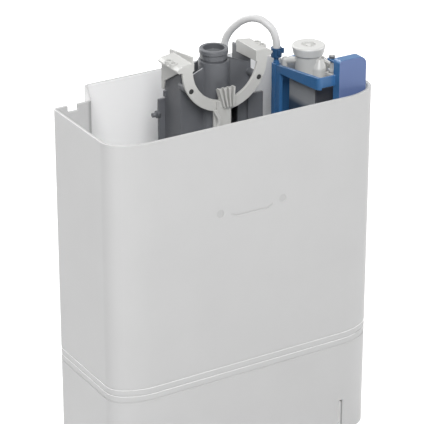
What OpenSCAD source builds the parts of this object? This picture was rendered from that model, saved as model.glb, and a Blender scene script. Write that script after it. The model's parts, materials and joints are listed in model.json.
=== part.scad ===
// Toilet cistern with its lid off: open tank, flush valve, lift rods, fill valve and supply hose.
// Millimetres, Z up, front at -Y. The origin is on the ground under the middle of the tank.

/* [Tank] */
// Outside width of the tank
tank_w = 400; // [396:1:430]
// Outside depth, front face to wall face
tank_d = 215; // [213:1:235]
// Height of the open rim above the ground
tank_h = 500; // [490:1:560]
// Thickness of the moulded walls
wall = 4; // [3:0.5:5]
// Height of the inside floor above the ground
floor_z = 150; // [135:1:160]
// Thickness of the inside floor
floor_t = 5; // [4:0.5:8]
// Length of the front face taken by each front corner
corner_x = 34; // [30:1:40]
// Length of the side face taken by each front corner
corner_y = 19.5; // [17:0.5:22]
// Radius of the front corner where it runs into the front
corner_front_r = 80; // [60:1:82]
// Radius of the front corner where it runs into the side
corner_side_r = 28; // [20:1:29]
// Depth of the recess at each rear corner
recess_d = 52; // [48:1:56]
// Width of the recess from the side face
recess_w = 53; // [50:1:58]
// Sideways run of the slanted wall between recess and back
recess_slant = 20; // [14:1:26]
// Radius of the small corners at the recess
recess_r = 7; // [6:0.5:9]
// Radius of the back corners
back_r = 10; // [7:0.5:14]
// Width of the notch in each recess wall
notch_w = 14; // [10:0.5:16]
// Depth of the notch below the rim
notch_h = 8.5; // [8:0.5:16]
// Distance from the side face to the middle of the notch
notch_x = 28; // [22:1:30]
// Thickness of the ribs under the floor
rib_t = 4; // [3:0.5:6]
// Height of the ribs under the floor
rib_h = 15; // [10:1:25]
// Height of the lowest of the three grooves round the outside
groove_z = 139; // [125:1:145]
// Distance between grooves
groove_pitch = 9.3; // [7:0.1:12]
// Width of a groove
groove_w = 2.4; // [1.5:0.1:4]
// Depth of a groove
groove_depth = 0.8; // [0.4:0.1:1.2]
// Depth of the marks on the front below the rim
mark_drop = 120; // [100:1:140]
// Distance between the two round marks
mark_span = 94; // [80:1:110]
// Diameter of a round mark
mark_d = 11; // [6:0.5:12]
// Length of the bar between the round marks
mark_bar_l = 62; // [40:1:64]
// Width of the bar between the round marks
mark_bar_w = 2.5; // [2:0.5:5]
// Drop of the bar below the round marks
mark_bar_drop = 8; // [4:0.5:12]
// Rise of the bar's bent ends
mark_bar_bend = 4; // [2:0.5:6]
// Depth of the marks
mark_depth = 0.8; // [0.4:0.1:1.2]
// Distance from the middle to each slot in the front skirt
slot_x = 147; // [140:1:155]
// Width of a skirt slot
slot_w = 5; // [4.5:0.5:8]
// Height of a skirt slot above the ground
slot_h = 52; // [40:1:70]
// Diameter of the wall fixing holes
fix_d = 9; // [7:0.5:11]
// Distance between the wall fixing holes
fix_span = 210; // [208:1:220]
// Depth of the wall fixing holes below the rim
fix_drop = 135; // [120:1:150]

/* [Flush outlet] */
// Distance of the flush valve's axis in front of the tank's middle
valve_front = 12; // [8:1:16]
// Inside diameter of the socket for the flush pipe
pipe_d = 50; // [46:0.5:52]
// Wall of the threaded tail
tail_wall = 4.8; // [4:0.1:6]
// Length of the tail below the tank floor
tail_l = 60; // [50:1:70]
// Depth of the flush pipe socket
socket_l = 40; // [30:1:44]
// Step that stops the flush pipe in its socket
socket_step = 2; // [1.5:0.5:4]
// Radial room of the tail in the tank floor
tail_room = 1.2; // [0.6:0.1:2]
// Thickness of the rubber under the valve base
seal_t = 3; // [2:0.5:5]
// Diameter of the valve base flange
flange_d = 84; // [80:1:90]
// Thickness of the valve base flange
flange_t = 5; // [4:0.5:7]
// Height of the valve seat above the flange
seat_h = 12; // [8:1:16]
// Height of the valve base legs above the flange
leg_h = 57; // [54:1:64]
// Width of a valve base leg
leg_w = 8; // [6:0.5:12]
// Thickness of the ring on the legs
ring_t = 5; // [4:0.5:7]
// Height of the nut under the tank floor
nut_h = 15; // [10:1:18]
// Radial reach of the nut beyond the tail
nut_reach = 9; // [7:0.5:12]
// Radial room in threads and push fits
fit_room = 0.1; // [0.05:0.05:0.2]

/* [Flush tower] */
// Radius of the round basket under the tower
basket_r = 46; // [45:0.5:50]
// Wall of the basket
basket_wall = 3; // [2:0.5:4]
// Height of the basket
basket_h = 156; // [140:1:160]
// Thickness of the basket's top plate
plate_t = 4; // [3:0.5:6]
// Width of a basket window
window_w = 34; // [24:1:40]
// Width of the tower
tower_w = 105; // [100:1:108]
// Depth of the tower
tower_d = 42; // [40:1:46]
// Distance of the tower front ahead of the valve axis
tower_lead = 6; // [4:0.5:8]
// Wall of the tower
tower_wall = 3; // [2.5:0.5:4]
// Rise of the tower's sides above the tank rim
tower_rise = 52; // [48:1:58]
// Rise of the gable's peak above the tank rim
gable_rise = 51; // [46:1:54]
// Fall of the gable for each millimetre sideways
gable_slope = 0.42; // [0.3:0.02:0.6]
// Rise of the gable's right side over its left
gable_step = 8; // [4:0.5:10]
// Width of the fin beside the tower's front
fin_w = 17; // [12:0.5:20]
// Thickness of the fin
fin_t = 4; // [3:0.5:6]
// Depth of the fin's top below the rim
fin_drop = 5; // [2:1:20]
// Width of the back plate
back_plate_w = 122; // [120:1:132]
// Thickness of the back plate
back_plate_t = 4; // [3:0.5:6]
// Depth of the back plate's top below the rim
back_plate_drop = 6; // [4:1:20]
// Length of the pegs on the back plate
peg_l = 9; // [6:0.5:12]
// Radius of the pegs on the back plate
peg_r = 4; // [3:0.5:5]

/* [Overflow tube] */
// Outside radius of the overflow tube
tube_r = 16; // [15:0.25:17]
// Wall of the overflow tube
tube_wall = 2; // [1.5:0.25:3]
// Radial room of the tube in its sleeve
tube_gap = 0.5; // [0.4:0.1:0.8]
// Wall of the sleeve
sleeve_wall = 3.5; // [2.5:0.5:3.5]
// Rise of the tube's end above the tank rim
tube_rise = 59; // [57:1:70]
// Height of the collar on the tube
collar_h = 7; // [5:0.5:10]
// Radial reach of the collar beyond the tube
collar_reach = 3; // [2:0.5:4]
// Thickness of the valve disc
disc_t = 4; // [3:0.5:6]
// Thickness of the valve washer
washer_t = 4; // [3:0.5:6]
// Radial reach of the washer beyond the flush pipe socket
washer_reach = 8; // [6.5:0.5:9]
// Travel of the flush valve
flush_lift = 12; // [8:1:14]

/* [Bearing block] */
// Distance of the bearing block's front ahead of the valve axis
block_lead = 29.5; // [28:0.5:32]
// Thickness of the bow
bow_t = 4; // [3:0.5:4]
// Inside radius of the bow
bow_in_r = 48; // [45:0.5:49]
// Outside radius of the bow
bow_out_r = 63; // [61:0.5:66]
// Rise of the bow's centre above the tank rim
bow_rise = 52; // [48:1:54]
// Sideways place of the bow's screws
screw_x = 50.5; // [48:0.5:51]
// Rise of the bow's screws above the tank rim
screw_rise = 25; // [22:1:28]
// Radius of the screw shanks
screw_r = 2; // [1.5:0.25:2.5]
// Radius of the screw bosses
boss_r = 5; // [4:0.25:6]
// Height of the pads on the tower's sides
pad_h = 10; // [8:0.5:14]
// Outer reach of the pads from the middle
pad_x = 71; // [68:0.5:73]
// Depth of the pads
pad_d = 49.5; // [46:0.5:52]
// Height of the left wing above its pad at the front
wing_h = 9; // [8:0.5:11]
// Fall of the wing's top edge to the rear
wing_fall = 7.5; // [6:0.5:9]
// Drop of the right wing below its pad
wing_hang = 5; // [4:0.5:6]
// Thickness of the wings and the cheeks
wing_t = 2.5; // [2:0.25:3]
// Length of the tongue that guides the rods, below the rim
tongue_drop = 54; // [50:1:60]

/* [Lift rods] */
// Thickness of the lift rods
rod_t = 3.5; // [2.5:0.5:4.5]
// Room between rods and their guides
rod_gap = 0.4; // [0.3:0.1:0.6]
// Room between the curved end and the full flush rod
curl_gap = 1.5; // [1:0.1:2]
// Width of the full flush rod
full_rod_w = 20.5; // [18:0.5:23]
// Place of the full flush rod's right edge
full_rod_x = 6; // [5:0.5:9]
// Width of the part flush rod
part_rod_w = 5; // [4:0.5:6]
// Width of the guide ear between the rods
ear_w = 1.8; // [1.5:0.1:3]
// Height of the guide ears
ear_h = 12; // [8:1:16]
// Sideways bulge of the part flush rod's curved end
curl_bulge = 6.5; // [4:0.5:8]
// Height of the part flush rod's curved end
curl_h = 32; // [26:1:36]
// Number of fingers on the full flush grip
grip_fingers = 4; // [3:1:6]
// Height of the grip above the tank rim
grip_rise = 23.5; // [20:0.5:28]
// Height of the part flush float
part_float_h = 40; // [30:1:50]
// Width of the part flush float
part_float_w = 26; // [20:1:28]
// Height of the part flush float's ledge above the basket plate
ledge_rise = 15; // [10:1:20]
// Travel of the part flush rod
part_lift = 10; // [6:1:10]

/* [Fill valve] */
// Width of the fill valve housing
fill_w = 69; // [66:1:74]
// Gap between housing and front wall
fill_front_gap = 22; // [20:0.5:26]
// Depth of the housing's floor below the rim
fill_drop = 85; // [80:1:100]
// Gap between housing and side wall
fill_side_gap = 10; // [8:0.5:14]
// Gap between housing and recess wall
fill_back_gap = 20; // [18:0.5:24]
// Wall of the housing
fill_wall = 3; // [2.5:0.5:4]
// Thickness of the housing's top bars
bar_t = 5; // [4:0.5:6]
// Radius of the bar's corner at the front
bar_r = 8; // [6:0.5:8]
// Height of the housing's top bars
bar_h = 11; // [8:0.5:13]
// Height of the housing's side bar at its front end
bar_front_h = 17; // [12:0.5:19]
// Rise of the side bar above the rim at the rear
bar_rear_rise = 6; // [2:1:8]
// Rise of the side bar above the rim at the front
bar_front_rise = 22; // [16:1:24]
// Width of the rear column
column_w = 9; // [8:0.5:11]
// Width of the front block
front_block_w = 42; // [38:1:44]
// Depth of the front block
front_block_d = 14; // [12:0.5:18]
// Rise of the front block above the rim
front_block_rise = 44.5; // [42:0.5:52]
// Radius of the front block's upper corner
front_block_r = 11; // [8:1:14]
// Radius of the valve neck
neck_r = 17.5; // [16:0.5:18.5]
// Rise of the neck above the rim
neck_rise = 27; // [24:1:30]
// Radius of the cap at its top
cap_r = 22.5; // [21:0.5:24]
// Height of the cap
cap_h = 13; // [11:0.5:16]
// Radius of the recess in the cap
cap_recess_r = 9.5; // [8:0.5:11]
// Radius of the fill outlet pipe
spout_r = 10; // [8:0.5:11]
// Length of the fill outlet pipe below the housing
spout_l = 40; // [20:1:60]
// Height of the fill float
float_h = 65; // [55:1:65]
// Travel of the fill float
float_lift = 12; // [8:1:12]
// Radius of the float rod
float_rod_r = 2.5; // [2:0.25:3]
// Thickness of the float arm
arm_t = 3.5; // [3:0.25:4]
// Radius of the float arm's pin
pin_r = 2; // [1.5:0.25:2.5]
// Radial running clearance of pins
pin_room = 0.05; // [0.02:0.01:0.1]

/* [Supply] */
// Outside diameter of the supply hose
hose_d = 10; // [9:0.5:11]
// Sides of the hose's cross-section
hose_sides = 12; // [8:1:12]
// Height of the hose clip
clip_h = 13; // [12:0.5:15]
// Radius of the water inlet socket
inlet_r = 9.3; // [8:0.1:9.5]
// Depth of the water inlet socket
inlet_l = 16; // [14:0.5:17]
// Radius of the stop valve's barrel
barrel_r = 12; // [11.5:0.5:13]
// Radius of the stop valve's spindle
spindle_r = 4; // [3:0.5:5]
// Radius of the stop valve's knob
knob_r = 13; // [11:0.5:15]
// Thickness of the stop valve's gasket
gasket_t = 2; // [1.5:0.5:3]

/* [Hidden] */
$fn = 64;
// Overlap that keeps cuts clean
cut = 1;
// Room left between a piece and what it rests near
rest_room = 0.3;

recess_y = tank_d / 2 - recess_d;
recess_in_y = recess_y - wall;
back_in_y = tank_d / 2 - wall;
notch_mid = tank_w / 2 - notch_x;

valve_y = -valve_front;
tail_r = pipe_d / 2 + tail_wall;
tail_z = floor_z - floor_t - tail_l;
flange_z = floor_z + seal_t;
flange_top = flange_z + flange_t;
seat_z = flange_top + seat_h;
seat_r = pipe_d / 2 + 6;
ring_z = flange_top + leg_h;
basket_z = ring_z + ring_t;
basket_top = basket_z + basket_h;
shell_z = basket_top + plate_t;
basket_in_r = basket_r - basket_wall;
ring_in_r = basket_r - 7;
leg_in_r = basket_r - 10;

tower_front = valve_y - tower_lead;
tower_back = tower_front + tower_d;
tower_top = tank_h + tower_rise;
sleeve_in_r = tube_r + tube_gap;
sleeve_r = sleeve_in_r + sleeve_wall;

washer_z = seat_z;
disc_z = washer_z + washer_t;
disc_r = pipe_d / 2 + washer_reach;
tube_z = disc_z + disc_t;
tube_top = tank_h + tube_rise;
foot_h = 4;
foot_z = ring_z - foot_h - 6;
shoulder_h = 3;

block_front = valve_y - block_lead;
bow_back = block_front + bow_t;
bow_z = tank_h + bow_rise;
pad_in = tower_w / 2 - tower_wall - 3.5;
pad_eyes = [pad_d * 0.38, pad_d * 0.61];
pad_eye_x = pad_x - 5;
pad_top = tower_top + pad_h;
screw_z = tank_h + screw_rise;
tongue_z = tank_h - tongue_drop;

rod_back = block_front - rod_gap;
rod_front = rod_back - rod_t;
full_rod_left = full_rod_x - full_rod_w;
part_rod_right = full_rod_left - ear_w - 2 * rod_gap;
part_rod_left = part_rod_right - part_rod_w;
lip_t = 2.5;
lip_reach = 1.5;
curl_z = tongue_z + ear_h + 6;
curl_steps = 24;
part_float_z = shell_z + ledge_rise;
part_float_right = part_rod_left + 0.5;
grip_z = tank_h + 1;

fill_x1 = tank_w / 2 - wall - fill_side_gap;
fill_x0 = fill_x1 - fill_w;
fill_y1 = recess_in_y - fill_back_gap;
fill_y0 = -tank_d / 2 + wall + fill_front_gap;
fill_l = fill_y1 - fill_y0;
fill_z0 = tank_h - fill_drop;
fill_floor = fill_z0 + fill_wall;
column_x = fill_x0 + column_w / 2 - 1;
column_y = fill_y1 - column_w / 2;
column_top = tank_h + bar_rear_rise + 2;
feed_foot_z = column_top - 8;
nipple_h = 10;
front_block_x1 = fill_x1 - 2;
front_block_x0 = front_block_x1 - front_block_w;
front_block_y0 = fill_y0 - 9.5;
front_block_y1 = front_block_y0 + front_block_d;
neck_in = 31;
neck_x = fill_x1 - neck_in;
neck_y = fill_y1 - 0.261 * fill_l;
neck_top = tank_h + neck_rise;
cap_skirt = 4;
float_z = fill_floor + 14;
float_top = float_z + float_h;
float_x0 = fill_x0 + bar_t + 5;
float_x1 = fill_x1 - 6;
float_y0 = fill_y0 + 0.208 * fill_l;
float_y1 = neck_y - neck_r - 15.5;
float_slab = 9;
float_slab_l = neck_y + 3 - float_y0;
float_rod_x = neck_x + 8;
float_rod_y = (float_y0 + float_y1) / 2 + 2.5;
arm_x0 = neck_x + neck_r + 1.5;
arm_z = float_top + 8;
arm_h = 6;
arm_bar_t = 4;
pivot_y = neck_y + 6;
pivot_z = arm_z + arm_h / 2;
hub_r = pin_r + 3;
collar_z = arm_z - 1.6;
guide_z = arm_z + arm_h + 15;
guide_t = 3;
rod_nut_h = 3;

hose_r = hose_d / 2;
hose_start = [120.5, 27, 518];
hose_end = [78, 90, 500];
hose_route = [
  hose_start, [120.5, 27, 528], [120.5, 27, 538], [118.5, 30, 549.5], [116.5, 33, 555], [114, 36.5, 559],
  [111, 41, 562.5], [108, 46, 565], [103.5, 52, 566], [99.5, 58.5, 565], [95, 65, 562], [91, 71, 557.5],
  [87.5, 76, 552], [84, 81.5, 545], [81, 86, 537], [79, 89, 528.5], [78, 90, 520], [78, 90, 510], hose_end
];
hose_top_z = tank_h;
inlet_drop = 30;
inlet_z = tank_h - inlet_drop;
inlet_x = 78;
outlet_y = tank_d / 2 - 17.5;
gasket_y = back_in_y - gasket_t;
sv_flange_t = 4;
sv_flange_y = gasket_y - sv_flange_t;
sv_flange_r = barrel_r + 4;
sv_screw_x = barrel_r + 10;
barrel_y = outlet_y - barrel_r - 2;
hose_nut_h = 12;
hose_nut_r = 10.5;
boss_out_r = 7.5;
spindle_l = 8;

function unit(v) = v / norm(v);
function inward(a, b) = let (d = unit(b - a)) [-d[1], d[0]];
function corner_shift(a, b, c) = let (m = inward(a, b), n = inward(b, c)) (m + n) / (1 + m * n);
function turn_side(a, b, c) = sign(cross(b - a, c - b));
function before(list, i) = list[(i + len(list) - 1) % len(list)];
function after(list, i) = list[(i + 1) % len(list)];

// Points of the arc that rounds corner b between a and c
function corner_arc(a, b, c, r) =
  let (
    m = inward(a, b),
    n = inward(b, c),
    side = turn_side(a, b, c),
    middle = b + side * r * corner_shift(a, b, c),
    start = atan2(-side * m[1], -side * m[0]),
    sweep = side * acos(m * n)
  )
  let (steps = r > 20 ? 8 : 5)
  [for (i = [0:steps]) let (t = start + sweep * i / steps) middle + r * [cos(t), sin(t)]];

// The tank's plan corners with their radii, right half then left half, counter-clockwise
right_corners = [
  [tank_w / 2 - corner_x, -tank_d / 2, corner_front_r],
  [tank_w / 2, -tank_d / 2 + corner_y, corner_side_r],
  [tank_w / 2, recess_y, recess_r],
  [tank_w / 2 - recess_w, recess_y, recess_r],
  [tank_w / 2 - recess_w - recess_slant, tank_d / 2, back_r]
];
left_corners = [for (i = [len(right_corners) - 1:-1:0]) let (p = right_corners[i]) [-p[0], p[1], p[2]]];
plan = concat(right_corners, left_corners);
plan_points = [for (p = plan) [p[0], p[1]]];

// The plan drawn in by a distance, each corner rounded about the same centre
function plan_inset(inset) = [
  for (i = [0:len(plan) - 1])
    plan_points[i] + inset * corner_shift(before(plan_points, i), plan_points[i], after(plan_points, i))
];
function plan_radius(i, inset) =
  plan[i][2] - inset * turn_side(before(plan_points, i), plan_points[i], after(plan_points, i));
function plan_outline(inset) =
  let (p = plan_inset(inset))
  [for (i = [0:len(p) - 1]) each corner_arc(before(p, i), p[i], after(p, i), plan_radius(i, inset))];

module tank_plan(inset = 0) {
  polygon(plan_outline(inset));
}

// A block given by its low and high corners
module span(low, high) {
  translate(low) cube(high - low);
}

// A cylinder along Y that starts at a point
module rod_y(at, r, length) {
  translate(at) rotate([-90, 0, 0]) cylinder(r = r, h = length);
}

// A cylinder along X that starts at a point
module rod_x(at, r, length) {
  translate(at) rotate([0, 90, 0]) cylinder(r = r, h = length);
}

// A profile drawn in X and Z, given thickness from y0 to y1
module plate_xz(y0, y1) {
  translate([0, y1, 0]) rotate([90, 0, 0]) linear_extrude(y1 - y0) children();
}

// A profile drawn in Y and Z, given thickness from x0 to x1
module plate_yz(x0, x1) {
  translate([x0, 0, 0]) rotate([90, 0, 90]) linear_extrude(x1 - x0) children();
}

// Copies a shape to both sides of the middle
module both_sides() {
  children();
  mirror([1, 0, 0]) children();
}

module ring(outer, inner, height) {
  difference() {
    cylinder(r = outer, h = height);
    translate([0, 0, -cut]) cylinder(r = inner, h = height + 2 * cut);
  }
}

module at_valve(z) {
  translate([0, valve_y, z]) children();
}

module tank_ribs() {
  reach = tail_r + nut_reach + 8;
  rib_z = floor_z - floor_t - rib_h;
  intersection() {
    translate([0, 0, rib_z]) linear_extrude(rib_h + cut) tank_plan(wall / 2);
    union() {
      both_sides() span([reach, valve_y - rib_t / 2, rib_z],
        [tank_w / 2, valve_y + rib_t / 2, floor_z - floor_t / 2]);
      span([-rib_t / 2, valve_y + reach, rib_z], [rib_t / 2, tank_d / 2, floor_z - floor_t / 2]);
      span([-rib_t / 2, -tank_d / 2, rib_z], [rib_t / 2, valve_y - reach, floor_z - floor_t / 2]);
    }
  }
}

module tank_grooves() {
  for (i = [0:2])
    translate([0, 0, groove_z + i * groove_pitch - groove_w / 2]) linear_extrude(groove_w)
      difference() {
        tank_plan(-cut);
        tank_plan(groove_depth);
      }
}

module front_marks() {
  face = -tank_d / 2 - cut;
  mark_z = tank_h - mark_drop;
  both_sides() rod_y([mark_span / 2, face, mark_z], mark_d / 2, cut + mark_depth);
  half = mark_bar_l / 2;
  flat = half - 2 * mark_bar_bend;
  top = mark_z - mark_bar_drop + mark_bar_w / 2;
  plate_xz(face, face + cut + mark_depth) polygon([
    [-half, top + mark_bar_bend], [-flat, top], [flat, top], [half, top + mark_bar_bend],
    [half, top + mark_bar_bend - mark_bar_w], [flat, top - mark_bar_w], [-flat, top - mark_bar_w],
    [-half, top + mark_bar_bend - mark_bar_w]
  ]);
}

module wall_holes() {
  both_sides() rod_y([fix_span / 2, back_in_y - cut, tank_h - fix_drop], fix_d / 2, wall + 2 * cut);
  rod_y([inlet_x, back_in_y - cut, inlet_z], barrel_r + 0.5, wall + 2 * cut);
  for (side = [-1, 1])
    rod_y([inlet_x + side * sv_screw_x, back_in_y - cut, inlet_z], screw_r + fit_room, wall + 2 * cut);
}

// The moulded tank: thin walls, a raised floor over a hollow skirt, notched recess walls
module tank() {
  color("white") difference() {
    union() {
      difference() {
        linear_extrude(tank_h) tank_plan();
        translate([0, 0, floor_z]) linear_extrude(tank_h) tank_plan(wall);
        translate([0, 0, -cut]) linear_extrude(floor_z - floor_t + cut) tank_plan(wall);
      }
      tank_ribs();
    }
    at_valve(0) cylinder(r = tail_r + tail_room, h = floor_z + cut);
    both_sides()
      span([notch_mid - notch_w / 2, recess_in_y - cut, tank_h - notch_h],
        [notch_mid + notch_w / 2, recess_y + cut, tank_h + cut]);
    both_sides() span([slot_x - slot_w / 2, -tank_d / 2 - cut, -cut],
      [slot_x + slot_w / 2, -tank_d / 2 + wall + cut, slot_h]);
    tank_grooves();
    front_marks();
    wall_holes();
  }
}

module outlet_seal() {
  color("dimgray") at_valve(floor_z) ring(flange_d / 2, tail_r + fit_room, seal_t);
}

module outlet_nut() {
  color("darkgray") at_valve(floor_z - floor_t - nut_h) difference() {
    union() {
      cylinder(r = tail_r + nut_reach - 3, h = nut_h);
      for (i = [0:7]) rotate(i * 45) translate([tail_r + 3, -5, 0]) cube([nut_reach - 3, 10, nut_h]);
    }
    translate([0, 0, -cut]) cylinder(r = tail_r + fit_room, h = nut_h + 2 * cut);
  }
}

// Seat, threaded tail and the legs that carry the basket
module valve_base() {
  inner = pipe_d / 2;
  socket_top = tail_z + socket_l;
  color("dimgray") {
    at_valve(0) rotate_extrude() polygon([
      [inner, tail_z], [tail_r, tail_z], [tail_r, flange_z], [flange_d / 2, flange_z],
        [flange_d / 2, flange_top],
      [seat_r, flange_top], [seat_r - 2, seat_z], [inner, seat_z],
        [inner - socket_step, seat_z - socket_step],
      [inner - socket_step, socket_top], [inner, socket_top]
    ]);
    at_valve(ring_z) ring(basket_r, ring_in_r, ring_t);
    at_valve(flange_top - cut) for (i = [0:3]) rotate(45 + 90 * i)
      translate([leg_in_r, -leg_w / 2, 0]) cube([flange_d / 2 - leg_in_r - 1, leg_w, leg_h + 2 * cut]);
  }
}

module tower_basket() {
  color("dimgray") difference() {
    union() {
      at_valve(basket_z) ring(basket_r, basket_in_r, basket_h);
      translate([0, 0, basket_top]) linear_extrude(plate_t) union() {
        translate([0, valve_y]) circle(r = basket_r);
        translate([-tower_w / 2, tower_front]) square([tower_w, tower_d]);
      }
    }
    at_valve(basket_z) for (i = [0:3]) rotate(90 * i)
      translate([0, -window_w / 2, 0.1 * basket_h]) cube([basket_r + cut, window_w, 0.71 * basket_h]);
    at_valve(basket_top - cut) cylinder(r = sleeve_in_r, h = plate_t + 2 * cut);
    span([full_rod_left - rod_gap, rod_front - rod_gap, basket_top - cut],
      [full_rod_x + rod_gap, rod_back + rod_gap, shell_z + cut]);
  }
}

// Gable outline of the tower's front, closed far below
module gable_cut() {
  peak = tank_h + gable_rise;
  reach = tower_w;
  polygon([[-reach, peak - gable_slope * reach], [0, peak], [0, peak + gable_step],
    [reach, peak + gable_step - gable_slope * reach], [reach, peak + reach], [-reach, peak + reach]]);
}

// Open tower with a sleeve for the overflow tube, gabled front and screw bosses
module tower_shell() {
  height = tower_top - shell_z;
  inner_w = tower_w - 2 * tower_wall;
  window_low = shell_z + 0.35 * height;
  window_high = tank_h - 8;
  color("dimgray") difference() {
    union() {
      difference() {
        translate([-tower_w / 2, tower_front, shell_z]) cube([tower_w, tower_d, height]);
        translate([-inner_w / 2, tower_front + tower_wall, shell_z - cut])
          cube([inner_w, tower_d - 2 * tower_wall, height + 2 * cut]);
        plate_xz(tower_front - cut, tower_front + tower_wall + cut) intersection() {
          gable_cut();
          translate([-inner_w / 2, tank_h]) square([inner_w, tank_h]);
        }
        plate_xz(tower_back - tower_wall - cut, tower_back + cut) translate([0, -12]) intersection() {
          gable_cut();
          translate([-inner_w / 2, tank_h]) square([inner_w, tank_h]);
        }
      }
      at_valve(shell_z) cylinder(r = sleeve_r, h = height - 2);
      span([tower_w / 2 - 1, tower_front - fin_t, shell_z],
        [tower_w / 2 + fin_w, tower_front, tank_h - fin_drop]);
      span([tower_w / 2 - 6, tower_front - fin_t, shell_z],
        [tower_w / 2, tower_front + 1, tank_h - fin_drop]);
      both_sides() rod_y([screw_x, bow_back, screw_z], boss_r, tower_front - bow_back + tower_wall);
      span([part_float_right - part_float_w + 4, rod_back + 4, part_float_z - rest_room - 4],
        [part_float_right - 4, tower_front + 1, part_float_z - rest_room]);
      both_sides() span([tower_w / 2 - 1, tower_back - 5, tank_h - 2],
        [tower_w / 2 + 3, tower_back - 1, tank_h + 6]);
    }
    at_valve(shell_z - cut) cylinder(r = sleeve_in_r, h = height + 2 * cut);
    both_sides() rod_y([screw_x, bow_back - cut, screw_z], screw_r + fit_room, tower_front - bow_back);
    span([sleeve_r + 2, tower_front - cut, window_low],
      [sleeve_r + 13, tower_front + tower_wall + cut, window_high]);
  }
}

module tower_back_plate() {
  top = tank_h - back_plate_drop;
  peg_z = top - 21;
  peg_y = tower_back + back_plate_t / 2;
  color("dimgray") {
    span([-back_plate_w / 2, tower_back, shell_z + 4], [back_plate_w / 2, tower_back + back_plate_t, top]);
    both_sides() rod_x([back_plate_w / 2 - 1, peg_y, peg_z], peg_r + 1, 4);
    both_sides() rod_x([back_plate_w / 2 + 2, peg_y, peg_z], peg_r - 1, peg_l - 2);
  }
}

// Half ring of the bow with straight arms up to the pads
module bow_outline() {
  difference() {
    union() {
      translate([0, bow_z]) circle(r = bow_out_r);
      translate([-bow_out_r, bow_z]) square([2 * bow_out_r, pad_top - bow_z]);
    }
    translate([0, bow_z]) circle(r = bow_in_r);
    translate([-bow_in_r, bow_z]) square([2 * bow_in_r, tank_h]);
    translate([-2 * bow_out_r, pad_top]) square([4 * bow_out_r, tank_h]);
  }
}

module rod_ear(x0, x1, lip0, lip1) {
  span([x0, rod_front - rod_gap - lip_t, tongue_z], [x1, block_front + 1, tongue_z + ear_h]);
  span([lip0, rod_front - rod_gap - lip_t, tongue_z], [lip1, rod_front - rod_gap, tongue_z + ear_h]);
}

// Bow in front of the tube, pads on the tower's sides, wings, cheeks and the guide tongue
module bearing_block() {
  ear_right = full_rod_x + rod_gap;
  ear_mid = full_rod_left - rod_gap - ear_w;
  ear_left = part_rod_left - rod_gap;
  side_w = 2.4;
  wing_back = block_front + pad_d + 10;
  cheek_drop = 30;
  cheek_foot = 9;
  cheek_lead = 8;
  cheek_x = tower_w / 2 + 2;
  color("gainsboro") difference() {
    union() {
      plate_xz(block_front, bow_back) bow_outline();
      both_sides() plate_xz(block_front, block_front + pad_d) polygon([
        [pad_in, tower_top], [pad_x - 3, tower_top], [pad_x, tower_top + 2.5], [pad_x, pad_top - 5.5],
        [pad_x - 4, pad_top - 2.5], [pad_in + 4, pad_top], [pad_in, pad_top]
      ]);
      both_sides() for (y = pad_eyes) translate([pad_eye_x, block_front + y,
        pad_top - 6]) cylinder(r = 5.5, h = 5);
      mirror([1, 0, 0]) plate_yz(pad_in, pad_in + wing_t) polygon([
        [block_front, tower_top], [wing_back, tower_top - 7], [wing_back, pad_top + wing_h - wing_fall],
          [block_front + 2, pad_top + wing_h]
      ]);
      plate_yz(pad_in, pad_in + wing_t) polygon([
        [block_front, tower_top - wing_hang], [block_front + pad_d, tower_top - wing_hang - 2],
        [block_front + pad_d, pad_top], [block_front, pad_top]
      ]);
      both_sides() plate_yz(cheek_x, cheek_x + wing_t) polygon([
        [block_front + cheek_lead, tower_top + 1], [tower_back - cheek_lead, tower_top - cheek_drop],
        [tower_back - 4, tank_h + cheek_foot], [tower_back, tank_h + cheek_foot],
          [tower_back, tower_top + 1]
      ]);
      span([ear_left - side_w, block_front, tongue_z],
        [ear_right + side_w, bow_back, tongue_z + ear_h + 2]);
      span([ear_mid, block_front, tongue_z], [ear_right + side_w, bow_back, bow_z - bow_in_r - 6]);
      rod_ear(ear_right, ear_right + side_w, full_rod_x - lip_reach, ear_right + side_w);
      rod_ear(ear_mid, ear_mid + ear_w, part_rod_right - lip_reach, full_rod_left + lip_reach);
      rod_ear(ear_left - side_w, ear_left, ear_left - side_w, part_rod_left + lip_reach);
    }
    both_sides() rod_y([screw_x, block_front - cut, screw_z], screw_r + fit_room, bow_t + 2 * cut);
    both_sides() rod_y([screw_x, block_front - cut, screw_z], screw_r + 1.6, cut + 1.5);
    both_sides() for (y = pad_eyes)
      translate([pad_eye_x, block_front + y, tower_top - cut]) cylinder(r = 3, h = pad_h + 2 * cut);
  }
}

module bearing_screws() {
  color("silver") both_sides() {
    rod_y([screw_x, block_front + 0.4, screw_z], screw_r + 1.4, 1.1);
    rod_y([screw_x, block_front + 1, screw_z], screw_r, tower_front - bow_back + 2);
  }
}

// Overflow tube with a shoulder that the full flush rod lifts
module overflow_tube() {
  slot_z = tank_h - tube_rise;
  slot_h = 30;
  color("dimgray") difference() {
    union() {
      at_valve(tube_z) cylinder(r = tube_r, h = tube_top - tube_z);
      at_valve(foot_z + foot_h) cylinder(r = tube_r + 2.5, h = shoulder_h);
    }
    at_valve(tube_z - cut) cylinder(r = tube_r - tube_wall, h = tube_top - tube_z + 2 * cut);
    at_valve(slot_z) translate([-tube_r - cut, -3, 0]) cube([2 * tube_r + 2 * cut, 6, slot_h]);
  }
}

module overflow_collar() {
  inner = tube_r - tube_wall;
  skirt = 7;
  color("dimgray") at_valve(0) rotate_extrude() polygon([
    [inner, tube_top], [tube_r + fit_room, tube_top], [tube_r + fit_room, tube_top - skirt],
      [tube_r + 1.2, tube_top - skirt],
    [tube_r + 1.2, tube_top], [tube_r + collar_reach, tube_top + 1],
      [tube_r + collar_reach, tube_top + collar_h - 1],
    [tube_r + collar_reach - 1, tube_top + collar_h], [inner, tube_top + collar_h]
  ]);
}

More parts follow.
